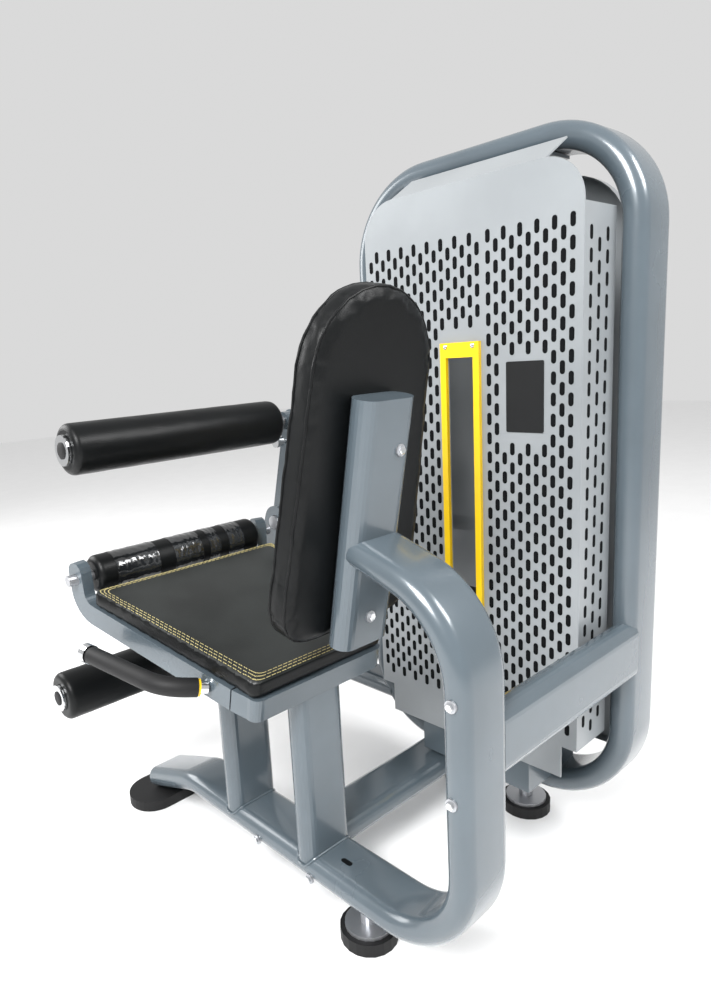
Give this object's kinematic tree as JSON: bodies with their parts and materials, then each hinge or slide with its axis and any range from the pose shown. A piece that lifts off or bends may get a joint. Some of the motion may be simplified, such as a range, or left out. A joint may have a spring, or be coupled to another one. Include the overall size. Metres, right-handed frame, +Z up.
{
  "type": "leg extension machine",
  "caption": "Selectorised leg extension with roller pads, fixed back pad, tilted seat, side handles and a shrouded weight stack beside the seat",
  "frame": {"origin": "on the floor under the middle of the machine's bounding box", "axes": "+Z up, +Y the way the seated user faces, +X from the seat to the weight stack cabinet"},
  "size_m": [0.9561, 1.07, 1.5189],
  "materials": {
    "paint": "satin grey-blue powder coat",
    "sheet": "light silver-grey powder coat",
    "pad_vinyl": "black grained vinyl",
    "seat_vinyl": "charcoal vinyl with pale stitching",
    "chrome": "polished chrome",
    "steel": "turned steel",
    "rubber": "moulded black rubber",
    "iron": "black painted iron",
    "cable": "black sheathed wire rope",
    "yellow": "yellow moulded trim"
  },
  "bodies": {
    "frame": {"axis_base_tube": "paint", "axis_column": "paint", "back_rail": "paint", "backrest_bracket": "paint", "backrest_pad": "pad_vinyl", "base_bracket": "paint", "bearing_housing": "paint", "cabinet_front_foot_rubber": "rubber", "cabinet_front_foot_stem": "steel", "cabinet_loop": "paint", "cabinet_rear_foot_rubber": "rubber", "cabinet_rear_foot_stem": "steel", "front_cover": "sheet", "front_foot_pad": "rubber", "front_post": "paint", "front_roller_axle": "steel", "guide_rod_1": "chrome", "guide_rod_2": "chrome", "left_handle_bar": "chrome", "left_handle_cap": "chrome", "left_handle_grip": "rubber", "left_side_rail": "paint", "low_pulley_bracket": "paint", "lower_cross_tube": "paint", "rear_cover": "sheet", "rear_foot_rubber": "rubber", "rear_foot_stem": "steel", "rear_post": "paint", "right_handle_bar": "chrome", "right_handle_cap": "chrome", "right_handle_grip": "rubber", "right_side_rail": "paint", "seat_cross_rail": "paint", "seat_frame_tube": "paint", "seat_pad": "seat_vinyl", "stack_cable": "cable", "top_bracket": "paint", "upper_cross_tube": "paint", "weight_plate_1": "iron", "weight_plate_2": "iron", "window_frame": "yellow"},
    "stack": {"top_plate": "iron", "weight_plate_3": "iron", "weight_plate_4": "iron"},
    "selector_pin": {"selector_pin": "yellow"},
    "swing_arm": {"swing_arm": "paint", "lower_roller_axle": "steel", "pivot_shaft": "steel", "cam_wheel": "iron"},
    "lower_roller": {"lower_roller_pad": "pad_vinyl", "lower_roller_cap": "chrome"},
    "thigh_arm": {"thigh_arm": "paint", "upper_roller_axle": "steel"},
    "upper_roller": {"upper_roller_pad": "pad_vinyl", "upper_roller_cap": "chrome"},
    "thigh_pop_pin": {"thigh_pop_pin": "chrome"},
    "front_roller": {"front_roller_pad": "pad_vinyl"},
    "rear_pulley": {"top_pulley_rear": "iron"},
    "front_pulley": {"top_pulley_front": "iron"},
    "low_pulley": {"low_pulley": "iron"}
  },
  "joints": [
    {"name": "stack_lift", "type": "slide", "parent": "frame", "child": "stack", "axis": [0, 0, 1], "range_m": [0, 0.157]},
    {"name": "arm_swing", "type": "hinge", "parent": "frame", "child": "swing_arm", "pos_m": [0.13205, 0.305, 0.7], "axis": [1, 0, 0], "range_deg": [0, 100]},
    {"name": "rear_pulley_turn", "type": "hinge", "parent": "frame", "child": "rear_pulley", "pos_m": [0.27905, -0.1825, 1.35], "axis": [1, 0, 0], "range_deg": [-260, 0]},
    {"name": "front_pulley_turn", "type": "hinge", "parent": "frame", "child": "front_pulley", "pos_m": [0.27905, -0.0825, 1.35], "axis": [1, 0, 0], "range_deg": [-260, 0]},
    {"name": "low_pulley_turn", "type": "hinge", "parent": "frame", "child": "low_pulley", "pos_m": [0.27905, -0.0125, 0.645], "axis": [1, 0, 0], "range_deg": [0, 260]},
    {"name": "lower_roller_spin", "type": "hinge", "parent": "swing_arm", "child": "lower_roller", "pos_m": [-0.16795, 0.449, 0.374], "axis": [1, 0, 0], "continuous": true},
    {"name": "thigh_arm_tilt", "type": "hinge", "parent": "frame", "child": "thigh_arm", "pos_m": [0.13205, 0.305, 0.7], "axis": [1, 0, 0], "range_deg": [-15, 40]},
    {"name": "upper_roller_spin", "type": "hinge", "parent": "thigh_arm", "child": "upper_roller", "pos_m": [-0.16795, 0.249, 0.963], "axis": [1, 0, 0], "continuous": true},
    {"name": "thigh_pin_pull", "type": "slide", "parent": "thigh_arm", "child": "thigh_pop_pin", "axis": [-1, 0, 0], "range_m": [0, 0.012], "stiffness_N_per_m": 400},
    {"name": "front_roller_spin", "type": "hinge", "parent": "frame", "child": "front_roller", "pos_m": [-0.16795, 0.317, 0.682], "axis": [1, 0, 0], "continuous": true},
    {"name": "selector_pull", "type": "slide", "parent": "stack", "child": "selector_pin", "axis": [-1, 0, 0], "range_m": [0, 0.075]}
  ],
  "couplings": [
    {"joint": "arm_swing", "follows": "stack_lift", "rad_per_m": 11.111},
    {"joint": "rear_pulley_turn", "follows": "stack_lift", "rad_per_m": -28.571},
    {"joint": "front_pulley_turn", "follows": "stack_lift", "rad_per_m": -28.571},
    {"joint": "low_pulley_turn", "follows": "stack_lift", "rad_per_m": 28.571}
  ]
}
